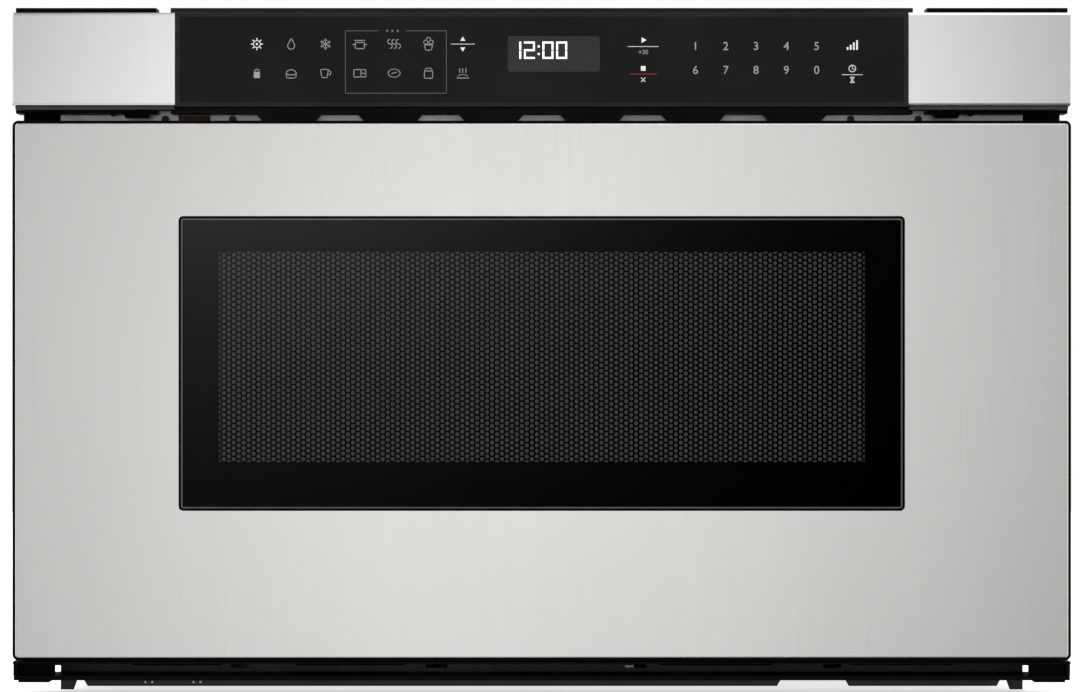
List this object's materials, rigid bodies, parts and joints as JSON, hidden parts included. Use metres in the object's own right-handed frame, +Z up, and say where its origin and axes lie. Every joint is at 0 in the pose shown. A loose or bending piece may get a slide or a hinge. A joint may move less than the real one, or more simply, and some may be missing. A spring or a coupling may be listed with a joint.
{
  "type": "microwave drawer",
  "caption": "Built-in microwave oven whose whole cooking tub slides out as a drawer, with a framed stainless front, a screened glass window and a fixed control strip above.",
  "frame": {"origin": "under the middle of the whole object, on the surface that it stands on", "axes": "+X to the right seen from the front, +Y to the back, +Z up; the drawer front faces -Y and the drawer opens along -Y"},
  "size_m": [0.6064, 0.5882, 0.3945],
  "materials": {
    "stainless": "brushed stainless steel, vertical grain",
    "black_frame": "satin black paint",
    "black_glass": "black printed tempered glass",
    "black_plastic": "black moulded plastic",
    "clear_glass": "clear inner window",
    "screen_black": "black perforated sheet",
    "grey_enamel": "grey baked enamel on sheet steel",
    "tub_grey": "smooth grey moulded tub",
    "ceramic": "glazed off-white ceramic",
    "zinc_steel": "zinc-coated sheet steel",
    "rail_steel": "zinc-plated rolled steel",
    "nylon": "natural nylon",
    "aluminium": "pressed aluminium",
    "core_steel": "varnished laminated core",
    "mica": "mica sheet",
    "board": "printed circuit board with parts"
  },
  "bodies": {
    "chassis": {"base_front_panel": "grey_enamel", "base_pan": "zinc_steel", "bottom_trim": "black_frame", "case_screws": "zinc_steel", "cavity_back_wall": "grey_enamel", "cavity_ceiling": "grey_enamel", "cavity_floor": "grey_enamel", "cavity_lamp": "nylon", "cavity_wall_left": "grey_enamel", "cavity_wall_right": "grey_enamel", "control_board": "board", "control_glass": "black_glass", "control_housing": "black_plastic", "display_module": "board", "drive_motor": "rail_steel", "fan_housing": "black_plastic", "fan_motor": "rail_steel", "front_plate": "grey_enamel", "hv_capacitor": "aluminium", "hv_transformer": "core_steel", "interlock_switches": "black_plastic", "line_filter_board": "board", "magnetron": "aluminium", "mounting_flange_left": "black_frame", "mounting_flange_right": "black_frame", "outer_case": "zinc_steel", "outer_rail_left": "rail_steel", "outer_rail_right": "rail_steel", "panel_back_cover": "black_plastic", "power_gland": "black_plastic", "rear_cover": "zinc_steel", "stirrer_motor": "rail_steel", "waveguide": "zinc_steel", "waveguide_cover": "mica", "wing_bracket_left": "black_frame", "wing_bracket_right": "black_frame", "wing_left": "stainless", "wing_right": "stainless"},
    "drawer": {"drawer_front_skin": "stainless", "drawer_front_frame": "black_frame", "window_glass": "black_glass", "window_screen": "screen_black", "inner_window": "clear_glass", "choke_panel": "grey_enamel", "choke_cover": "black_plastic", "drawer_floor": "tub_grey", "ceramic_tray": "ceramic", "drawer_side_left": "tub_grey", "drawer_side_right": "tub_grey", "drawer_back": "tub_grey", "latch_hooks": "zinc_steel", "runner_left": "rail_steel", "runner_right": "rail_steel", "drive_rack": "nylon"},
    "middle_rail_left": {"middle_rail_left": "rail_steel"},
    "middle_rail_right": {"middle_rail_right": "rail_steel"},
    "pinion": {"drive_pinion": "nylon"},
    "stirrer": {"stirrer": "aluminium"},
    "fan_wheel": {"fan_wheel": "black_plastic"},
    "switch_plungers": {"switch_plungers": "nylon"}
  },
  "joints": [
    {"name": "drawer_slide", "type": "slide", "parent": "chassis", "child": "drawer", "axis": [0, -1, 0], "range_m": [0, 0.381]},
    {"name": "middle_rail_left_slide", "type": "slide", "parent": "chassis", "child": "middle_rail_left", "axis": [0, -1, 0], "range_m": [0, 0.191]},
    {"name": "middle_rail_right_slide", "type": "slide", "parent": "chassis", "child": "middle_rail_right", "axis": [0, -1, 0], "range_m": [0, 0.191]},
    {"name": "pinion_spin", "type": "hinge", "parent": "chassis", "child": "pinion", "pos_m": [0, -0.232, 0.048], "axis": [1, 0, 0], "range_deg": [0, 1820]},
    {"name": "stirrer_spin", "type": "hinge", "parent": "chassis", "child": "stirrer", "pos_m": [0, -0.04135, 0.3], "axis": [0, 0, 1], "continuous": true},
    {"name": "fan_spin", "type": "hinge", "parent": "chassis", "child": "fan_wheel", "pos_m": [-0.1, 0.2306, 0.236], "axis": [1, 0, 0], "continuous": true},
    {"name": "plunger_press", "type": "slide", "parent": "chassis", "child": "switch_plungers", "axis": [0, 1, 0], "range_m": [0, 0.0015], "stiffness_N_per_m": 400, "springref_m": -0.001}
  ],
  "couplings": [
    {"joint": "middle_rail_left_slide", "follows": "drawer_slide", "ratio": 0.5},
    {"joint": "middle_rail_right_slide", "follows": "drawer_slide", "ratio": 0.5},
    {"joint": "pinion_spin", "follows": "drawer_slide", "rad_per_m": 83.333}
  ]
}
